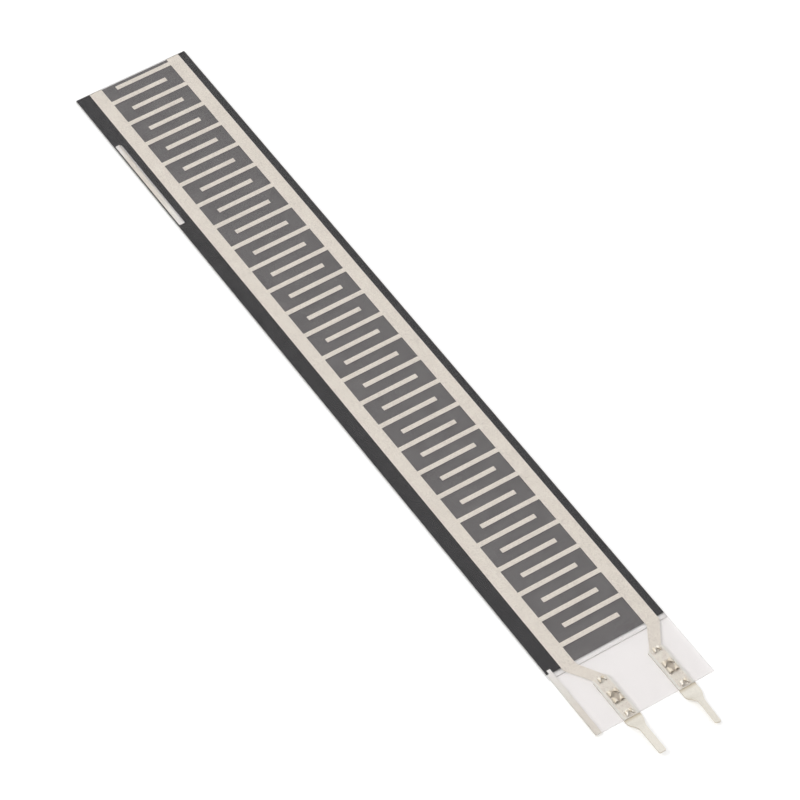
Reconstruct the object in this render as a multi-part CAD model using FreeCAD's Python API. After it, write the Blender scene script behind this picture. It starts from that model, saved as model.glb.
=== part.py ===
import FreeCAD, Part
import math
import os

# Strip force sensing resistor.
# Two clear films are laminated with printed silver combs, a printed resistive
# field and black spacers between them. The upper film runs on past the lower
# one as a tail, and two stamped crimp contacts bite through that tail.
# Millimetres. X runs across the strip, Y along it from the contacts to the far
# end, Z up. The origin is the centre of the footprint, on the underside.

# Films and what lies between them
film_length = 110.55
film_width = 15.0
upper_film_thickness = 0.10
lower_film_thickness = 0.10
spacer_thickness = 0.10
silver_thickness = 0.02
resist_thickness = 0.015
lower_film_overhang = 0.65

# Black margins and silver buses, across the strip
left_margin = 1.84
right_margin = 0.88
bus_width = 1.64

# Fingers, counted from the far end
finger_pitch = 2.0
finger_width = 0.62
first_finger = 0.82
least_last_margin = 2.4
finger_end_gap = 1.62

# Pale strip along the left edge, and the openings in the black over it
strip_width = 0.78
strip_thickness = 0.04
window_start = 9.15
window_length = 15.1
window_width = 0.80
window_edge = 0.19
window_corner = 0.18
notch_length = 0.50
notch_width = 0.45
notch_edge = 0.34

# Traces on the tail
tail_lead = 3.15
trace_lead = 0.50
jog_overlap = 0.30
pad_inset = 0.25

# Crimp contacts
first_contact_inset = 4.55
contact_spacing = 7.0
contact_reach = 5.65
plate_width = 2.0
plate_thickness = 0.18
plate_under_film = 6.15
plate_corner = 0.40
left_shoulder_length = 0.30
right_shoulder_length = 0.95
taper_length = 1.90
taper_steps = 10
pin_width = 0.86
pin_chamfer = 0.12
pin_rise = 0.50
left_tip_rise = 0.50
right_tip_rise = 0.24
right_pin_twist = 26.0

# Teeth that come up through the tail and curl over it, row by row from the
# inner end of the plate
tooth_thickness = 0.12
tooth_rise = 0.05
tooth_point = 0.14
tooth_slit_clearance = 0.02
first_tooth_inset = 0.56
last_tooth_inset = 0.54
middle_tooth_spacing = 0.95
tooth_insets = (0.58, 0.40, 0.40, 0.54)
tooth_curls = (0.07, 0.13, 0.13, 0.09)
tooth_lengths = (0.54, 0.66, 0.66, 0.58)
tooth_leans = (0.26, 0.18, -0.20, 0.26)

# Levels of the stack
lower_top = lower_film_thickness
spacer_top = lower_top + spacer_thickness
silver_bottom = spacer_top - silver_thickness
upper_top = spacer_top + upper_film_thickness
plate_bottom = silver_bottom - plate_thickness

# Lengths from the far end, and as many fingers as they leave room for
laminate_length = film_length - plate_under_film - tail_lead
lower_film_length = laminate_length + lower_film_overhang
finger_room = laminate_length - first_finger - least_last_margin
finger_count = math.floor(round(finger_room / finger_pitch, 6)) + 1

# Places along and across the strip
far_end = (film_length + contact_reach) / 2
film_end = far_end - film_length
laminate_end = far_end - laminate_length
left_edge = -film_width / 2
right_edge = film_width / 2
left_bus_outer = left_edge + left_margin
left_bus_inner = left_bus_outer + bus_width
right_bus_outer = right_edge - right_margin
right_bus_inner = right_bus_outer - bus_width
contact_centres = {
    "left": left_edge + first_contact_inset,
    "right": left_edge + first_contact_inset + contact_spacing,
}
first_tooth = film_end + plate_under_film - first_tooth_inset
last_tooth = film_end + last_tooth_inset
middle_tooth = (first_tooth + last_tooth) / 2
tooth_places = (
    first_tooth,
    middle_tooth + middle_tooth_spacing / 2,
    middle_tooth - middle_tooth_spacing / 2,
    last_tooth,
)
tooth_rows = list(zip(tooth_places, tooth_insets, tooth_curls, tooth_lengths, tooth_leans))


def box(x_low, x_high, y_low, y_high, z_low, z_high):
    size = (x_high - x_low, y_high - y_low, z_high - z_low)
    return Part.makeBox(*size, FreeCAD.Vector(x_low, y_low, z_low))


def prism(points, z_low, z_high):
    # Upright prism over a closed outline of (x, y) points
    corners = [FreeCAD.Vector(x, y, z_low) for x, y in points]
    outline = Part.makePolygon(corners + corners[:1])
    return Part.Face(outline).extrude(FreeCAD.Vector(0, 0, z_high - z_low))


def make_upper_film():
    film = box(left_edge, right_edge, film_end, far_end, spacer_top, upper_top)
    return film.cut(tooth_slits(spacer_top, upper_top))


def make_lower_film():
    return box(left_edge, right_edge, far_end - lower_film_length, far_end, 0, lower_top)


def make_resistive_layer():
    # Carbon ink on the lower film, under the fingers
    return box(left_bus_inner, right_bus_inner, laminate_end, far_end,
               lower_top, lower_top + resist_thickness)


def window_opening():
    # Long slot with rounded corners near the strip's left edge
    x_low = left_edge + window_edge
    y_high = far_end - window_start
    opening = box(x_low, x_low + window_width, y_high - window_length, y_high,
                  lower_top, spacer_top)
    upright = [edge for edge in opening.Edges
               if abs(edge.tangentAt(edge.FirstParameter).z) > 0.5]
    return opening.makeFillet(window_corner, upright)


def notch_opening():
    x_low = left_edge + notch_edge
    return box(x_low, x_low + notch_width, laminate_end, laminate_end + notch_length,
               lower_top, spacer_top)


def make_edge_strip():
    # Pale adhesive: thin under the black, and as high as the gap where it shows
    strip_edge = left_edge + strip_width
    thin = box(left_edge, strip_edge, film_end, far_end,
               lower_top, lower_top + strip_thickness)
    tail = box(left_edge, strip_edge, film_end, laminate_end, lower_top, spacer_top)
    room = box(left_edge, strip_edge, film_end, far_end, lower_top, spacer_top)
    shown = [tail, window_opening().common(room), notch_opening().common(room)]
    return thin.multiFuse(shown).removeSplitter()


def make_spacer(side):
    # Black adhesive from the outer edge to the inner side of the bus, stepped
    # down by the thickness of the ink under the bus
    if side == "left":
        outer, bus_outer, inner = left_edge, left_bus_outer, left_bus_inner
    else:
        outer, bus_outer, inner = right_edge, right_bus_outer, right_bus_inner
    under_bus = box(min(outer, inner), max(outer, inner), laminate_end, far_end,
                    lower_top, silver_bottom)
    margin = box(min(outer, bus_outer), max(outer, bus_outer), laminate_end, far_end,
                 lower_top, spacer_top)
    spacer = under_bus.fuse(margin).removeSplitter()
    if side == "left":
        spacer = spacer.cut([window_opening(), notch_opening(), make_edge_strip()])
    return spacer


def make_electrode(side):
    # Silver comb: bus, every second finger, and the trace that jogs in to the
    # contact. The first finger comes from the right bus.
    if side == "left":
        outer, inner = left_bus_outer, left_bus_inner
        finger_tip = right_bus_inner - finger_end_gap
        first_index = 1
    else:
        outer, inner = right_bus_outer, right_bus_inner
        finger_tip = left_bus_inner + finger_end_gap
        first_index = 0
    inward = 1 if inner > outer else -1
    half_pad = plate_width / 2 - pad_inset
    pad_outer = contact_centres[side] - inward * half_pad
    pad_inner = contact_centres[side] + inward * half_pad
    jog_start = laminate_end - trace_lead
    jog_end = film_end + plate_under_film - jog_overlap
    half_finger = finger_width / 2
    outline = [(outer, far_end), (inner, far_end)]
    for index in range(first_index, finger_count, 2):
        place = far_end - first_finger - finger_pitch * index
        outline += [
            (inner, place + half_finger),
            (finger_tip, place + half_finger),
            (finger_tip, place - half_finger),
            (inner, place - half_finger),
        ]
    outline += [
        (inner, jog_start),
        (pad_inner, jog_end),
        (pad_inner, film_end),
        (pad_outer, film_end),
        (pad_outer, jog_end),
        (outer, jog_start),
    ]
    comb = prism(outline, silver_bottom, spacer_top)
    return comb.cut(tooth_slits(silver_bottom, spacer_top))


def tooth_outer_face(centre, side_sign, inset):
    return centre + side_sign * (plate_width / 2 - inset)


def tooth_slits(z_low, z_high):
    # One slit round the leg of each tooth
    slits = []
    for centre in contact_centres.values():
        for side_sign in (-1, 1):
            for place, inset, curl, length, lean in tooth_rows:
                outer = tooth_outer_face(centre, side_sign, inset)
                inner = outer - side_sign * tooth_thickness
                reach = length / 2 + tooth_slit_clearance
                slits.append(box(min(outer, inner) - tooth_slit_clearance,
                                 max(outer, inner) + tooth_slit_clearance,
                                 place - reach, place + reach, z_low, z_high))
    return slits


def tooth_section(outer, inward, curl):
    # Leg up through the film, half a turn inwards and a tip that bears down on
    # the film, as a face in the XZ plane
    spring = upper_top + tooth_rise
    outer_radius = curl + tooth_thickness
    axis_x = outer + inward * outer_radius

    def point(radius, height):
        return FreeCAD.Vector(axis_x + inward * radius, 0, height)

    def half_turn(radius):
        top = FreeCAD.Vector(axis_x, 0, spring + radius)
        return Part.Arc(point(-radius, spring), top, point(radius, spring)).toShape()

    foot = plate_bottom + plate_thickness / 2
    tip = point(curl + tooth_thickness / 2, upper_top)
    edges = [
        Part.makeLine(point(-outer_radius, foot), point(-outer_radius, spring)),
        half_turn(outer_radius),
        Part.makeLine(point(outer_radius, spring), tip),
        Part.makeLine(tip, point(curl, spring)),
        half_turn(curl),
        Part.makeLine(point(-curl, spring), point(-curl, foot)),
        Part.makeLine(point(-curl, foot), point(-outer_radius, foot)),
    ]
    return Part.Face(Part.Wire(edges))


def make_tooth(centre, side_sign, place, inset, curl, length, lean):
    # Curled section, cut to a pointed plan that leans along the strip
    outer = tooth_outer_face(centre, side_sign, inset)
    inward = -side_sign
    reach = length + abs(lean)
    section = tooth_section(outer, inward, curl)
    section.translate(FreeCAD.Vector(0, place - reach, 0))
    bar = section.extrude(FreeCAD.Vector(0, 2 * reach, 0))
    leg_x = outer + inward * tooth_thickness
    point_x = outer + inward * 2 * (curl + tooth_thickness)
    plan = prism([
        (outer, place - length / 2),
        (leg_x, place - length / 2),
        (point_x, place + lean - tooth_point / 2),
        (point_x, place + lean + tooth_point / 2),
        (leg_x, place + length / 2),
        (outer, place + length / 2),
    ], plate_bottom, upper_top + tooth_rise + curl + 2 * tooth_thickness)
    return bar.common(plan)


def contact_section(centre, y, width, rise, twist=0.0):
    # Outline of the contact's metal across its length
    turn = FreeCAD.Rotation(FreeCAD.Vector(0, 1, 0), twist)
    middle = FreeCAD.Vector(centre, y, plate_bottom + plate_thickness / 2 + rise)
    half_width = width / 2
    half_thickness = plate_thickness / 2
    corners = []
    for across, up in ((-1, -1), (1, -1), (1, 1), (-1, 1)):
        arm = FreeCAD.Vector(across * half_width, 0, up * half_thickness)
        corners.append(middle + turn.multVec(arm))
    return Part.makePolygon(corners + corners[:1])


def make_terminal(side):
    # Flat plate under the tail with its teeth, a shoulder, an eased taper that
    # steps up, and the solder pin, bent as on the real piece
    centre = contact_centres[side]
    if side == "left":
        shoulder_length, tip_rise, twist = left_shoulder_length, left_tip_rise, 0.0
    else:
        shoulder_length, tip_rise, twist = right_shoulder_length, right_tip_rise, right_pin_twist
    half_plate = plate_width / 2
    taper_start = film_end - shoulder_length
    taper_end = taper_start - taper_length
    tip = film_end - contact_reach
    inner_end = film_end + plate_under_film
    base = prism([
        (centre - half_plate, taper_start),
        (centre + half_plate, taper_start),
        (centre + half_plate, inner_end - plate_corner),
        (centre + half_plate - plate_corner, inner_end),
        (centre - half_plate + plate_corner, inner_end),
        (centre - half_plate, inner_end - plate_corner),
    ], plate_bottom, silver_bottom)
    taper_sections = []
    for step in range(taper_steps + 1):
        share = step / taper_steps
        ease = (1 - math.cos(math.pi * share)) / 2
        width = plate_width + (pin_width - plate_width) * ease
        y = taper_start - taper_length * share
        taper_sections.append(contact_section(centre, y, width, pin_rise * ease, twist * ease))
    taper = Part.makeLoft(taper_sections, True, True)
    tip_width = pin_width - 2 * pin_chamfer
    pin = Part.makeLoft([
        contact_section(centre, taper_end, pin_width, pin_rise, twist),
        contact_section(centre, tip + pin_chamfer, pin_width, tip_rise, twist),
        contact_section(centre, tip, tip_width, tip_rise, twist),
    ], True, True)
    teeth = [make_tooth(centre, side_sign, *row) for row in tooth_rows
             for side_sign in (-1, 1)]
    return base.multiFuse([taper, pin] + teeth).removeSplitter()


nodes = {
    "upper_film": make_upper_film(),
    "lower_film": make_lower_film(),
    "resistive_layer": make_resistive_layer(),
    "edge_strip": make_edge_strip(),
}
for side in contact_centres:
    nodes["spacer_" + side] = make_spacer(side)
    nodes["electrode_" + side] = make_electrode(side)
    nodes["terminal_" + side] = make_terminal(side)

os.makedirs("parts", exist_ok=True)
for name, shape in nodes.items():
    shape.exportStep("parts/" + name + ".step")
    bounds = shape.BoundBox
    print(name, shape.isValid(), len(shape.Solids), round(shape.Volume, 4),
          "y", round(bounds.YMin, 3), round(bounds.YMax, 3),
          "z", round(bounds.ZMin, 3), round(bounds.ZMax, 3))
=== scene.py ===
import math

import bpy
from mathutils import Matrix, Vector


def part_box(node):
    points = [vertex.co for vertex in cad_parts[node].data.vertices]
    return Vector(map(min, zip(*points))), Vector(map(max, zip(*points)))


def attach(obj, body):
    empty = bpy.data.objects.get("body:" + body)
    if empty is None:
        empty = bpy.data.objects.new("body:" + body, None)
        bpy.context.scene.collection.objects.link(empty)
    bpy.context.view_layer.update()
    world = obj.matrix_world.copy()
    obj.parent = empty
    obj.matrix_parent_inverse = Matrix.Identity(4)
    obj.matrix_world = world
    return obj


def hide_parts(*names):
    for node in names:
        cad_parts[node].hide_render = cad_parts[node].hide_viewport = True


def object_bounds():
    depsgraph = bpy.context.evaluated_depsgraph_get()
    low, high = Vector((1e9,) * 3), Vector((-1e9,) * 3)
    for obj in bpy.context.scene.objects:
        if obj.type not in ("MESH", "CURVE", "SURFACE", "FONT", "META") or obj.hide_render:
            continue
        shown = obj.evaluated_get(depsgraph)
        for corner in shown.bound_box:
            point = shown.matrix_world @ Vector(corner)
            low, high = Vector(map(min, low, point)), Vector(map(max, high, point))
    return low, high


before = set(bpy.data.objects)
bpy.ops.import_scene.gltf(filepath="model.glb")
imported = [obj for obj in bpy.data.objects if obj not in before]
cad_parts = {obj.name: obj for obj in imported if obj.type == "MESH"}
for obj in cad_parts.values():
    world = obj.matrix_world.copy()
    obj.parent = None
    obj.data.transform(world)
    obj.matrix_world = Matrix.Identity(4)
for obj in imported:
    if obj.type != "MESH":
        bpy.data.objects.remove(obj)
cad_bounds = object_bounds()

MM = 0.001

# Camera, from the perspective of the strip in the photograph (800 x 800)
image_size = 800
sensor_width = 36.0
focal_length_px = 3908.0
camera_azimuth = -30.135
camera_elevation = 50.284
camera_roll = 2.88
pixels_per_mm = 8.849
target_px = (354.53, 344.19)
target_from_far_end = 51.0 * MM
target_height = 0.19 * MM

# Light. The sky's brightness by the sine of the angle above the horizon, where
# a white backdrop stands
sky_tones = [(0.0, 1.0), (0.12, 1.0), (0.19, 0.75), (0.55, 0.90)]
key_place = (-0.9, 0.5, 1.15)
key_size = 0.9
key_power = 5.4

# Floor, just under the strip
floor_half_size = 4.0
floor_depth = 0.03 * MM
floor_colour = (0.93, 0.93, 0.93)
floor_glow = 0.14

# Films
film_air_gap = 0.003 * MM
film_index = 1.3
film_roughness = 0.04
film_shadow_colour = (0.985, 0.98, 0.98)
upper_film_colour = (0.852, 0.833, 0.828)
lower_film_colour = (0.99, 0.99, 0.99)
upper_edge_colour = (0.70, 0.69, 0.67)
lower_edge_colour = (0.40, 0.38, 0.36)
film_edge_shade = 0.92
film_edge_width = 0.12 * MM

# Marks that the printing screen leaves in the inks
screen_angle = 0.39
screen_depth = 0.003 * MM


def set_view():
    scene = bpy.context.scene
    scene.view_settings.view_transform = "Standard"
    return scene


def add_camera(scene):
    # The look-at frame of the photograph: right, down and back in the row
    # frame, turned by the roll
    azimuth = math.radians(camera_azimuth)
    elevation = math.radians(camera_elevation)
    roll = math.radians(camera_roll)
    back = Vector((math.sin(azimuth) * math.cos(elevation),
                   -math.cos(azimuth) * math.cos(elevation),
                   math.sin(elevation)))
    forward = -back
    level_right = forward.cross(Vector((0, 0, 1))).normalized()
    level_down = forward.cross(level_right)
    right = math.cos(roll) * level_right + math.sin(roll) * level_down
    down = -math.sin(roll) * level_right + math.cos(roll) * level_down

    distance = focal_length_px / pixels_per_mm * MM
    far_end = cad_bounds[1][1]
    target = Vector((0, far_end - target_from_far_end, target_height))
    middle = image_size / 2
    offset_right = (target_px[0] - middle) / focal_length_px * distance
    offset_down = (target_px[1] - middle) / focal_length_px * distance
    place = target - forward * distance - right * offset_right - down * offset_down

    data = bpy.data.cameras.new("camera")
    data.sensor_width = sensor_width
    data.lens = focal_length_px / image_size * sensor_width
    data.clip_start = 0.01
    data.clip_end = 20.0
    camera = bpy.data.objects.new("camera", data)
    axes = Matrix((right, -down, back)).transposed().to_4x4()
    camera.matrix_world = Matrix.Translation(place) @ axes
    scene.collection.objects.link(camera)
    scene.camera = camera


def shade(colour, factor):
    return tuple(min(1.0, channel * factor) for channel in colour)


def set_stops(node, stops):
    # Colours of a ramp node, each at its place from 0 to 1
    elements = node.color_ramp.elements
    while len(elements) < len(stops):
        elements.new(0.5)
    for element, (place, colour) in zip(elements, stops):
        element.position = place
        element.color = (*colour, 1.0)


class Nodes:
    """Short way to write a material's node tree."""

    # Most of a noise lies between these two values
    noise_low = 0.3
    noise_high = 0.7
    noise_roughness = 0.55

    # The wave texture makes one ridge for each unit of length at this scale
    wave_scale = math.pi / 10
    wave_distortion = 0.6

    # The Mix node's colour sockets, whose names its other sockets share
    mix_below = 6
    mix_above = 7
    mix_result = 2

    def __init__(self, name):
        self.material = bpy.data.materials.new(name)
        self.material.use_nodes = True
        self.tree = self.material.node_tree
        self.shader = self.tree.nodes["Principled BSDF"]
        self.output = self.tree.nodes["Material Output"]
        coordinates = self.tree.nodes.new("ShaderNodeTexCoord")
        self.place = coordinates.outputs["Object"]

    def add(self, kind, **settings):
        node = self.tree.nodes.new(kind)
        for key, value in settings.items():
            setattr(node, key, value)
        return node

    def link(self, source, target):
        self.tree.links.new(source, target)

    def fill(self, socket, value):
        # A value that is the same all over, or one that a node gives
        if isinstance(value, (int, float)):
            socket.default_value = value
        elif isinstance(value, tuple):
            socket.default_value = (*value, 1.0)
        else:
            self.link(value, socket)

    def set(self, **inputs):
        # Inputs of the shader, by their names with _ for each space
        for name, value in inputs.items():
            self.fill(self.shader.inputs[name.replace("_", " ")], value)

    def axes(self, vector):
        node = self.add("ShaderNodeSeparateXYZ")
        self.link(vector, node.inputs[0])
        return node.outputs

    def noise(self, size, detail=3.0, stretch=(1, 1, 1)):
        # Noise with features about size metres across, from 0 to 1
        mapping = self.add("ShaderNodeMapping")
        mapping.inputs["Scale"].default_value = [factor / size for factor in stretch]
        self.link(self.place, mapping.inputs["Vector"])
        noise = self.add("ShaderNodeTexNoise")
        noise.inputs["Scale"].default_value = 1.0
        noise.inputs["Detail"].default_value = detail
        noise.inputs["Roughness"].default_value = self.noise_roughness
        self.link(mapping.outputs["Vector"], noise.inputs["Vector"])
        return noise.outputs["Fac"]

    def weave(self, pitch):
        # Marks of a printing screen: two sets of ridges across each other
        height = None
        for turn in (screen_angle, screen_angle + math.pi / 2):
            mapping = self.add("ShaderNodeMapping")
            mapping.inputs["Rotation"].default_value = (0, 0, turn)
            mapping.inputs["Scale"].default_value = [1 / pitch] * 3
            self.link(self.place, mapping.inputs["Vector"])
            wave = self.add("ShaderNodeTexWave", wave_type="BANDS", bands_direction="X")
            wave.inputs["Scale"].default_value = self.wave_scale
            wave.inputs["Distortion"].default_value = self.wave_distortion
            wave.inputs["Detail"].default_value = 1.0
            self.link(mapping.outputs["Vector"], wave.inputs["Vector"])
            if height is None:
                height = wave.outputs["Fac"]
            else:
                height = self.combine("MULTIPLY", height, wave.outputs["Fac"])
        return height

    def combine(self, operation, *values):
        node = self.add("ShaderNodeMath", operation=operation)
        for socket, value in zip(node.inputs, values):
            self.fill(socket, value)
        return node.outputs[0]

    def remap(self, source, low, high, from_low=noise_low, from_high=noise_high):
        node = self.add("ShaderNodeMapRange")
        node.inputs["From Min"].default_value = from_low
        node.inputs["From Max"].default_value = from_high
        node.inputs["To Min"].default_value = low
        node.inputs["To Max"].default_value = high
        self.link(source, node.inputs["Value"])
        return node.outputs["Result"]

    def mottle(self, fine, coarse, fine_share):
        # Two noises added up, from 0 to 1
        return self.combine("ADD", self.remap(fine, 0.0, fine_share),
                            self.remap(coarse, 0.0, 1.0 - fine_share))

    def ramp(self, source, stops):
        node = self.add("ShaderNodeValToRGB")
        set_stops(node, stops)
        self.link(source, node.inputs["Fac"])
        return node.outputs["Color"]

    def shades(self, source, colour, stops):
        # The colour, made darker or lighter by the factor of each stop
        return self.ramp(source, [(place, shade(colour, factor)) for place, factor in stops])

    def blend(self, factor, below, above):
        # Colour above over colour below, each a socket or a plain colour
        node = self.add("ShaderNodeMix", data_type="RGBA")
        self.link(factor, node.inputs["Factor"])
        self.fill(node.inputs[self.mix_below], below)
        self.fill(node.inputs[self.mix_above], above)
        return node.outputs[self.mix_result]

    def bump(self, height, depth, normal=None):
        node = self.add("ShaderNodeBump")
        node.inputs["Distance"].default_value = depth
        self.link(height, node.inputs["Height"])
        if normal is not None:
            self.link(normal, node.inputs["Normal"])
        return node.outputs["Normal"]


def near_middle_teeth(m, axes, side, reach_along, reach_across):
    # From 0 to 1 around the middle group of teeth of the contact on that side
    fade = 0.3 * MM
    low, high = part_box("terminal_" + side)
    middle = (high[1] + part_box("upper_film")[0][1]) / 2
    centre = (low[0] + high[0]) / 2
    factors = []
    for axis, place, reach in (("Y", middle, reach_along), ("X", centre, reach_across)):
        away = m.combine("ABSOLUTE", m.combine("SUBTRACT", axes[axis], place))
        factors.append(m.remap(away, 1.0, 0.0, reach, reach + fade))
    return m.combine("MULTIPLY", *factors)


def silver_ink(side):
    # Printed silver: warm, matt, with flakes and the marks of the screen,
    # blotched lighter on the pad, and a brown painted shade around the middle teeth
    colour = (0.945, 0.90, 0.815)
    brown = (0.62, 0.54, 0.43)
    teeth_shade_share = 0.7
    blotch_fade = 0.6 * MM
    m = Nodes("silver_ink_" + side)
    flakes = m.noise(size=0.125 * MM, detail=2.0)
    clouds = m.noise(size=2.2 * MM)
    tone = m.mottle(flakes, clouds, fine_share=0.8)
    axes = m.axes(m.place)
    pad_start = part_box("terminal_left")[1][1]
    on_pad = m.remap(axes["Y"], 0.0, 1.0, pad_start, pad_start - blotch_fade)
    # Blotches on the pad, mostly lighter than the silver around them
    pad_blotches = m.remap(m.noise(size=0.45 * MM, detail=2.0), -0.12, 0.55)
    tone = m.combine("ADD", tone, m.combine("MULTIPLY", on_pad, pad_blotches))
    tone = m.shades(tone, colour, [(0.0, 0.78), (0.2, 0.88), (0.55, 1.0), (0.9, 1.09)])
    # Painted shade: the silver turns brown around the middle group of teeth, where shade
    # falls under and between the curled teeth
    teeth_shade = near_middle_teeth(m, axes, side, reach_along=0.75 * MM, reach_across=0.30 * MM)
    tone = m.blend(m.combine("MULTIPLY", teeth_shade, teeth_shade_share), tone, brown)
    normal = m.bump(m.weave(pitch=0.16 * MM), screen_depth)
    m.set(Base_Color=tone, Metallic=0.15, Specular_IOR_Level=0.2,
          Roughness=m.remap(flakes, 0.36, 0.58),
          Normal=m.bump(flakes, 0.004 * MM, normal))
    return m.material


def carbon_ink():
    # Printed resistive ink: dark grey, dry, finely grained
    colour = (0.170, 0.167, 0.169)
    m = Nodes("carbon_ink")
    grain = m.noise(size=0.14 * MM)
    clouds = m.noise(size=3.0 * MM, detail=2.0)
    tone = m.mottle(grain, clouds, fine_share=0.75)
    normal = m.bump(m.weave(pitch=0.18 * MM), screen_depth)
    m.set(Base_Color=m.shades(tone, colour, [(0.05, 0.68), (0.5, 1.0), (0.95, 1.32)]),
          Specular_IOR_Level=0.1,
          Roughness=m.remap(grain, 0.55, 0.75),
          Normal=m.bump(grain, 0.003 * MM, normal))
    return m.material


def black_adhesive():
    # Black spacer, faintly mottled and uneven
    colour = (0.034, 0.034, 0.037)
    m = Nodes("black_adhesive")
    grain = m.noise(size=0.14 * MM, detail=2.0)
    clouds = m.noise(size=1.6 * MM, detail=4.0)
    tone = m.mottle(grain, clouds, fine_share=0.7)
    m.set(Base_Color=m.shades(tone, colour, [(0.05, 0.58), (0.95, 1.46)]),
          Specular_IOR_Level=0.1,
          Roughness=m.remap(clouds, 0.35, 0.5),
          Normal=m.bump(m.noise(size=0.3 * MM), 0.001 * MM))
    return m.material


def pale_adhesive():
    # Tone by the distance from the far end in millimetres: beige along most of
    # the window and on the tail, white near the window's ends and in the notch.
    # A brown shade lies along the inner side of the window's far part.
    white = (0.99, 0.985, 0.965)
    pale = (0.95, 0.95, 0.89)
    beige = (0.885, 0.852, 0.775)
    grey = (0.90, 0.89, 0.87)
    brown = (0.66, 0.60, 0.52)
    tones = [(9.2, grey), (10.2, white), (11.7, beige), (18.5, beige), (22.0, pale),
             (24.0, white), (101.5, white), (104.0, pale), (107.0, beige)]
    waver = 0.005
    brown_width = 0.25 * MM
    brown_start = 19.0 * MM
    brown_full = 11.0 * MM
    m = Nodes("pale_adhesive")
    axes = m.axes(m.place)
    far_end = cad_bounds[1][1]
    longest = tones[-1][0]
    along = m.remap(axes["Y"], 0.0, 1.0, far_end, far_end - longest * MM)
    clouds = m.noise(size=0.8 * MM)
    place = m.combine("ADD", along, m.remap(clouds, -waver, waver))
    tone = m.ramp(place, [(distance / longest, colour) for distance, colour in tones])
    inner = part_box("edge_strip")[1][0]
    across = m.remap(axes["X"], 0.0, 1.0, inner - brown_width, inner)
    shaded = m.remap(axes["Y"], 0.0, 1.0, far_end - brown_start, far_end - brown_full)
    tone = m.blend(m.combine("MULTIPLY", across, shaded), tone, brown)
    m.set(Base_Color=tone, Roughness=0.55)
    return m.material


def clear_film(low, high, colour):
    # Clear polyester, a little milky, darker along its cut edges. Rays from
    # lamps pass straight through.
    m = Nodes("clear_film")
    axes = m.axes(m.place)
    from_side = m.combine("SUBTRACT", high[0], m.combine("ABSOLUTE", axes["X"]))
    from_near = m.combine("SUBTRACT", axes["Y"], low[1])
    from_far = m.combine("SUBTRACT", high[1], axes["Y"])
    from_end = m.combine("MINIMUM", from_near, from_far)
    inside = m.combine("MINIMUM", from_side, from_end)
    edge = m.remap(inside, 0.0, 1.0, 0.0, film_edge_width)
    m.set(Base_Color=m.shades(edge, colour, [(0.0, film_edge_shade), (1.0, 1.0)]),
          Transmission_Weight=1.0, IOR=film_index, Roughness=film_roughness)
    through = m.add("ShaderNodeBsdfTransparent")
    m.fill(through.inputs["Color"], film_shadow_colour)
    path = m.add("ShaderNodeLightPath")
    mix = m.add("ShaderNodeMixShader")
    m.link(path.outputs["Is Shadow Ray"], mix.inputs["Fac"])
    m.link(m.shader.outputs["BSDF"], mix.inputs[1])
    m.link(through.outputs["BSDF"], mix.inputs[2])
    m.link(mix.outputs["Shader"], m.output.inputs["Surface"])
    return m.material


def cut_edge(colour):
    # Side walls of the films, where the cut has left them frosted
    m = Nodes("film_cut_edge")
    m.set(Base_Color=colour, Roughness=0.5)
    return m.material


def tinned_contact(side):
    # Warm tin on the pins, with a brown painted shade where the taper leaves the film,
    # mottled brown and light on the curled teeth with a brown painted shade on the middle
    # group, paler on the plate under the film, and a brown painted shade on faces that stand
    # on edge
    colour = (0.875, 0.835, 0.755)
    plate_colour = (0.95, 0.96, 0.91)
    film_end_shade_colour = (0.62, 0.54, 0.42)
    side_shade_colour = (0.58, 0.53, 0.45)
    tooth_colour = (0.80, 0.73, 0.62)
    tooth_brown = (0.66, 0.58, 0.46)
    tooth_bright = (0.95, 0.91, 0.83)
    teeth_shade_share = 0.5
    film_end_shade_length = 0.50 * MM
    m = Nodes("tinned_contact_" + side)
    axes = m.axes(m.place)
    streaks = m.noise(size=0.12 * MM, stretch=(3, 0.5, 1))
    tone = m.shades(streaks, colour, [(0.3, 0.90), (0.7, 1.06)])

    film_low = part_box("upper_film")[0]
    # Painted shade: a brown band on the contact just outside the film's end, where the film's
    # edge and the step in the plate shade it
    film_end_shade = m.remap(axes["Y"], 0.0, 1.0, film_low[1] - film_end_shade_length, film_low[1])
    tone = m.blend(film_end_shade, tone, film_end_shade_colour)
    covered = m.combine("GREATER_THAN", axes["Y"], film_low[1])
    tone = m.blend(covered, tone, plate_colour)

    patches = m.noise(size=0.38 * MM, detail=1.5)
    tooth = m.ramp(patches, [(0.38, tooth_brown), (0.50, tooth_colour), (0.60, tooth_bright)])
    # Painted shade: the middle group of teeth is blended towards brown, where shade falls
    # among the curled teeth
    teeth_shade = near_middle_teeth(m, axes, side, reach_along=0.85 * MM, reach_across=0.75 * MM)
    tooth = m.blend(m.combine("MULTIPLY", teeth_shade, teeth_shade_share), tooth, tooth_brown)
    raised = m.combine("GREATER_THAN", axes["Z"], film_low[2])
    is_tooth = m.combine("MULTIPLY", covered, raised)
    tone = m.blend(is_tooth, tone, tooth)

    # Painted shade: faces that stand on edge rather than facing up are darkened towards
    # brown, the teeth excepted
    facing = m.axes(m.add("ShaderNodeNewGeometry").outputs["True Normal"])
    level = m.combine("ABSOLUTE", facing["Z"])
    side_shade = m.remap(level, 1.0, 0.0, from_low=0.15, from_high=0.65)
    side_shade = m.combine("MULTIPLY", side_shade, m.combine("SUBTRACT", 1.0, is_tooth))
    tone = m.blend(side_shade, tone, side_shade_colour)
    m.set(Base_Color=tone,
          Metallic=m.remap(covered, 0.9, 0.3, from_low=0.0, from_high=1.0),
          Roughness=m.remap(streaks, 0.40, 0.55),
          Normal=m.bump(streaks, 0.004 * MM))
    return m.material


def set_material(obj, material):
    obj.data.materials.clear()
    obj.data.materials.append(material)


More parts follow.
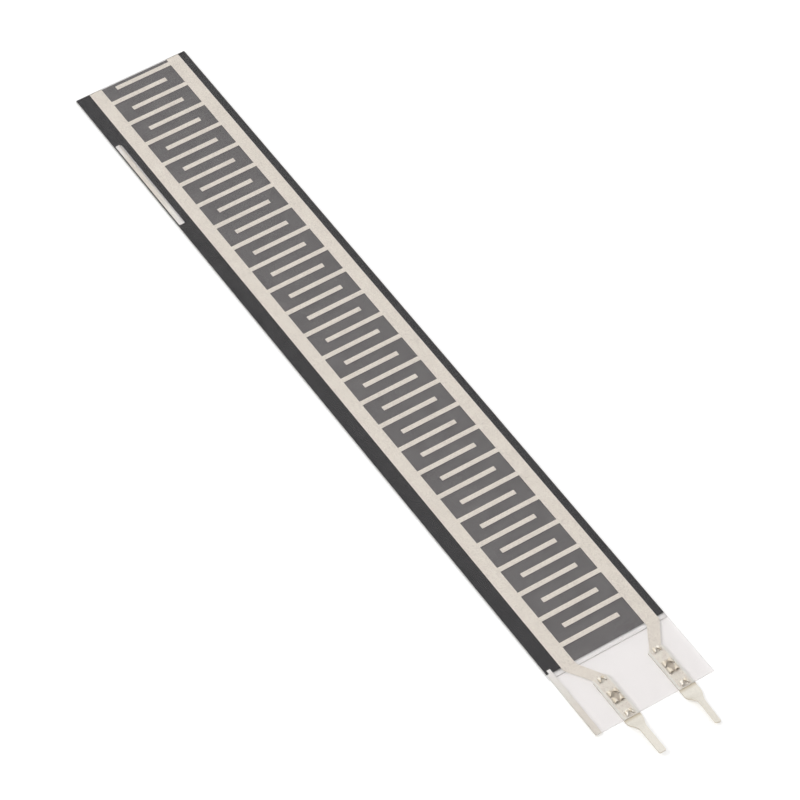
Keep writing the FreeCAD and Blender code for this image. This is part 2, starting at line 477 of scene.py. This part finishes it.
def film_sheet(node, name, colour, edge_colour, air_below=0.0, air_above=0.0):
    # The CAD film's own form, set back a few microns from the inks it touches,
    # so that light meets one surface at a time. Its side walls are the faces
    # whose normals lie flatter than the steepness given here.
    wall_steepness = 0.5
    sheet = bpy.data.objects.new(name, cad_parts[node].data.copy())
    bpy.context.scene.collection.objects.link(sheet)
    low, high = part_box(node)
    middle = (low[2] + high[2]) / 2
    for vertex in sheet.data.vertices:
        if vertex.co.z < middle:
            vertex.co.z += air_below
        else:
            vertex.co.z -= air_above
    set_material(sheet, clear_film(low, high, colour))
    sheet.data.materials.append(cut_edge(edge_colour))
    for face in sheet.data.polygons:
        face.material_index = 1 if abs(face.normal.z) < wall_steepness else 0
    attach(sheet, "root")
    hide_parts(node)


def add_floor(scene):
    size = floor_half_size
    mesh = bpy.data.meshes.new("floor")
    corners = [(-size, -size, -floor_depth), (size, -size, -floor_depth),
               (size, size, -floor_depth), (-size, size, -floor_depth)]
    mesh.from_pydata(corners, [], [(0, 1, 2, 3)])
    floor = bpy.data.objects.new("floor", mesh)
    scene.collection.objects.link(floor)
    m = Nodes("floor")
    m.set(Base_Color=floor_colour, Roughness=0.9, Specular_IOR_Level=0.0,
          Emission_Color=(1.0, 1.0, 1.0), Emission_Strength=floor_glow)
    set_material(floor, m.material)


def add_key_light(scene):
    data = bpy.data.lights.new("key", "AREA")
    data.shape = "DISK"
    data.size = key_size
    data.energy = key_power
    lamp = bpy.data.objects.new("key", data)
    lamp.location = key_place
    lamp.rotation_euler = (-Vector(key_place)).to_track_quat("-Z", "Y").to_euler()
    scene.collection.objects.link(lamp)


def add_sky(scene):
    world = bpy.data.worlds.new("studio")
    scene.world = world
    world.use_nodes = True
    nodes = world.node_tree.nodes
    links = world.node_tree.links
    coordinates = nodes.new("ShaderNodeTexCoord")
    axes = nodes.new("ShaderNodeSeparateXYZ")
    rise = nodes.new("ShaderNodeValToRGB")
    set_stops(rise, [(height, (tone, tone, tone)) for height, tone in sky_tones])
    links.new(coordinates.outputs["Generated"], axes.inputs[0])
    links.new(axes.outputs["Z"], rise.inputs["Fac"])
    links.new(rise.outputs["Color"], nodes["Background"].inputs["Color"])


scene = set_view()
add_camera(scene)
add_sky(scene)
add_key_light(scene)
add_floor(scene)

film_sheet("upper_film", "upper_film_sheet", upper_film_colour, upper_edge_colour,
           air_below=film_air_gap)
film_sheet("lower_film", "lower_film_sheet", lower_film_colour, lower_edge_colour,
           air_above=film_air_gap)
set_material(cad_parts["resistive_layer"], carbon_ink())
set_material(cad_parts["edge_strip"], pale_adhesive())
black = black_adhesive()
for side in ("left", "right"):
    set_material(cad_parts["spacer_" + side], black)
    set_material(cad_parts["electrode_" + side], silver_ink(side))
    set_material(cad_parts["terminal_" + side], tinned_contact(side))
